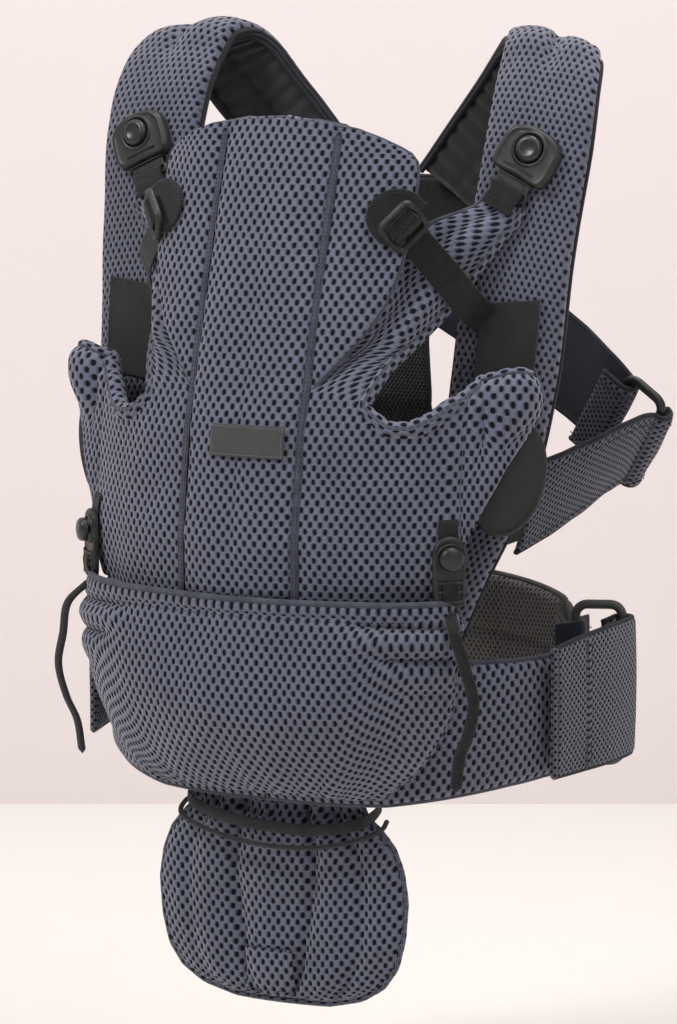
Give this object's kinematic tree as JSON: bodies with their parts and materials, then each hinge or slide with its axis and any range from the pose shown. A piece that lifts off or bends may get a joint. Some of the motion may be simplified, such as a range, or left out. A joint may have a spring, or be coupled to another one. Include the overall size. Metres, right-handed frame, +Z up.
{
  "type": "soft baby carrier",
  "caption": "Front-worn soft baby carrier in spacer mesh: padded shoulder straps crossing at the back, seat pouch, head support, waist belt and hanging bib.",
  "frame": {"origin": "on the wearer's torso axis, at the height of the middle of the waist belt", "axes": "+Z up, -Y to the front, away from the wearer, +X to the wearer's left"},
  "size_m": [0.4224, 0.2916, 0.6501],
  "materials": {
    "mesh_main": "coarse 3-D spacer mesh, matte",
    "mesh_fine": "fine 3-D spacer mesh, matte",
    "knit_black": "quilted tricot lining, soft matte",
    "lining_navy": "smooth woven lining, matte",
    "mesh_grey": "grey spacer mesh, matte",
    "webbing": "woven polyester webbing, matte",
    "elastic": "woven elastic, matte",
    "label": "plain woven label, satin",
    "plastic": "fine moulded texture, satin",
    "plastic_grey": "fine moulded texture, satin"
  },
  "bodies": {
    "harness": {"chest_panel": "mesh_main", "label": "label", "seat_pouch": "mesh_main", "side_flap_l": "mesh_main", "side_flap_r": "mesh_main", "wing_l": "mesh_main", "wing_r": "mesh_main", "wing_tip_l": "mesh_main", "wing_tip_r": "mesh_main", "shoulder_strap_l": "mesh_main", "shoulder_strap_r": "mesh_main", "strap_lining_l": "knit_black", "strap_lining_r": "knit_black", "strap_patch_l": "knit_black", "strap_patch_r": "knit_black", "buckle_housing_l": "plastic", "buckle_housing_r": "plastic", "back_yoke": "knit_black", "spine_panel": "knit_black", "side_strap_l": "lining_navy", "side_strap_r": "lining_navy", "return_strap_l": "mesh_fine", "return_strap_r": "mesh_fine", "head_web_l": "webbing", "head_web_r": "webbing", "belt_front_l": "mesh_main", "belt_front_r": "mesh_main", "belt_wrap_l": "mesh_fine", "belt_wrap_r": "mesh_fine", "lumbar_tab_l": "webbing", "lumbar_tab_r": "webbing", "lumbar_pad": "mesh_grey"},
    "head": {"head_support": "mesh_main"},
    "bib": {"bib": "mesh_main", "bib_band": "elastic", "bib_cord": "elastic"},
    "head_lock_l": {"head_lock_l": "plastic"},
    "button_l": {"buckle_button_l": "plastic"},
    "tongue_l": {"buckle_tongue_l": "plastic", "buckle_web_l": "webbing"},
    "size_plate_l": {"size_plate_l": "plastic"},
    "side_ring_l": {"side_ring_l": "plastic"},
    "waist_ring_l": {"waist_ring_l": "plastic_grey"},
    "leg_buckle_l": {"leg_buckle_l": "plastic", "leg_tail_l": "webbing"},
    "leg_knob_l": {"leg_knob_l": "plastic"},
    "head_lock_r": {"head_lock_r": "plastic"},
    "button_r": {"buckle_button_r": "plastic"},
    "tongue_r": {"buckle_tongue_r": "plastic", "buckle_web_r": "webbing"},
    "size_plate_r": {"size_plate_r": "plastic"},
    "side_ring_r": {"side_ring_r": "plastic"},
    "waist_ring_r": {"waist_ring_r": "plastic_grey"},
    "leg_buckle_r": {"leg_buckle_r": "plastic", "leg_tail_r": "webbing"},
    "leg_knob_r": {"leg_knob_r": "plastic"}
  },
  "joints": [
    {"name": "head_fold", "type": "hinge", "parent": "harness", "child": "head", "pos_m": [0, -0.1123, 0.3], "axis": [1, 0, 0], "range_deg": [-10, 15], "deforming": ["head_web_l", "head_web_r"]},
    {"name": "lock_tilt_l", "type": "hinge", "parent": "head", "child": "head_lock_l", "pos_m": [0.08912, -0.10204, 0.34418], "axis": [-0.5578, -0.4648, -0.6876], "range_deg": [0, 25], "deforming": ["head_web_l"]},
    {"name": "button_press_l", "type": "slide", "parent": "harness", "child": "button_l", "axis": [-0.1, 0.9548, -0.2799], "range_m": [0, 0.0022], "stiffness_N_per_m": 900, "springref_m": -0.0012},
    {"name": "tongue_pull_l", "type": "slide", "parent": "harness", "child": "tongue_l", "axis": [-0.4143, -0.2958, -0.8608], "range_m": [0, 0.012], "deforming": ["wing_tip_l"]},
    {"name": "plate_swing_l", "type": "hinge", "parent": "harness", "child": "size_plate_l", "pos_m": [0.13271, -0.0723, 0.18174], "axis": [0.197, 0.086, 0.9766], "range_deg": [-6, 8]},
    {"name": "side_ring_swing_l", "type": "hinge", "parent": "harness", "child": "side_ring_l", "pos_m": [0.16095, 0.07948, 0.19624], "axis": [0.5376, -0.3285, 0.7766], "range_deg": [-10, 10], "deforming": ["return_strap_l"]},
    {"name": "waist_ring_swing_l", "type": "hinge", "parent": "harness", "child": "waist_ring_l", "pos_m": [0.15521, 0.03889, 0.019], "axis": [0, 0, 1], "range_deg": [-8, 8], "deforming": ["belt_wrap_l"]},
    {"name": "leg_buckle_tilt_l", "type": "hinge", "parent": "harness", "child": "leg_buckle_l", "pos_m": [0.13497, -0.10978, 0.133], "axis": [-0.737, -0.6758, 0], "range_deg": [0, 25]},
    {"name": "knob_press_l", "type": "slide", "parent": "leg_buckle_l", "child": "leg_knob_l", "axis": [-0.6758, 0.737, 0], "range_m": [0, 0.0014], "stiffness_N_per_m": 900, "springref_m": -0.0008},
    {"name": "lock_tilt_r", "type": "hinge", "parent": "head", "child": "head_lock_r", "pos_m": [-0.08912, -0.10204, 0.34418], "axis": [-0.5578, 0.4648, 0.6876], "range_deg": [0, 25], "deforming": ["head_web_r"]},
    {"name": "button_press_r", "type": "slide", "parent": "harness", "child": "button_r", "axis": [0.1, 0.9548, -0.2799], "range_m": [0, 0.0022], "stiffness_N_per_m": 900, "springref_m": -0.0012},
    {"name": "tongue_pull_r", "type": "slide", "parent": "harness", "child": "tongue_r", "axis": [0.4143, -0.2958, -0.8608], "range_m": [0, 0.012], "deforming": ["wing_tip_r"]},
    {"name": "plate_swing_r", "type": "hinge", "parent": "harness", "child": "size_plate_r", "pos_m": [-0.13271, -0.0723, 0.18174], "axis": [0.197, -0.086, -0.9766], "range_deg": [-6, 8]},
    {"name": "side_ring_swing_r", "type": "hinge", "parent": "harness", "child": "side_ring_r", "pos_m": [-0.16095, 0.07948, 0.19624], "axis": [0.5376, 0.3285, -0.7766], "range_deg": [-10, 10], "deforming": ["return_strap_r"]},
    {"name": "waist_ring_swing_r", "type": "hinge", "parent": "harness", "child": "waist_ring_r", "pos_m": [-0.15521, 0.03889, 0.019], "axis": [0, 0, -1], "range_deg": [-8, 8], "deforming": ["belt_wrap_r"]},
    {"name": "leg_buckle_tilt_r", "type": "hinge", "parent": "harness", "child": "leg_buckle_r", "pos_m": [-0.13497, -0.10978, 0.133], "axis": [-0.737, 0.6758, 0], "range_deg": [0, 25]},
    {"name": "knob_press_r", "type": "slide", "parent": "leg_buckle_r", "child": "leg_knob_r", "axis": [0.6758, 0.737, 0], "range_m": [0, 0.0014], "stiffness_N_per_m": 900, "springref_m": -0.0008},
    {"name": "bib_swing", "type": "hinge", "parent": "harness", "child": "bib", "pos_m": [0, -0.094, -0.05], "axis": [1, 0, 0], "range_deg": [-15, 35]}
  ]
}
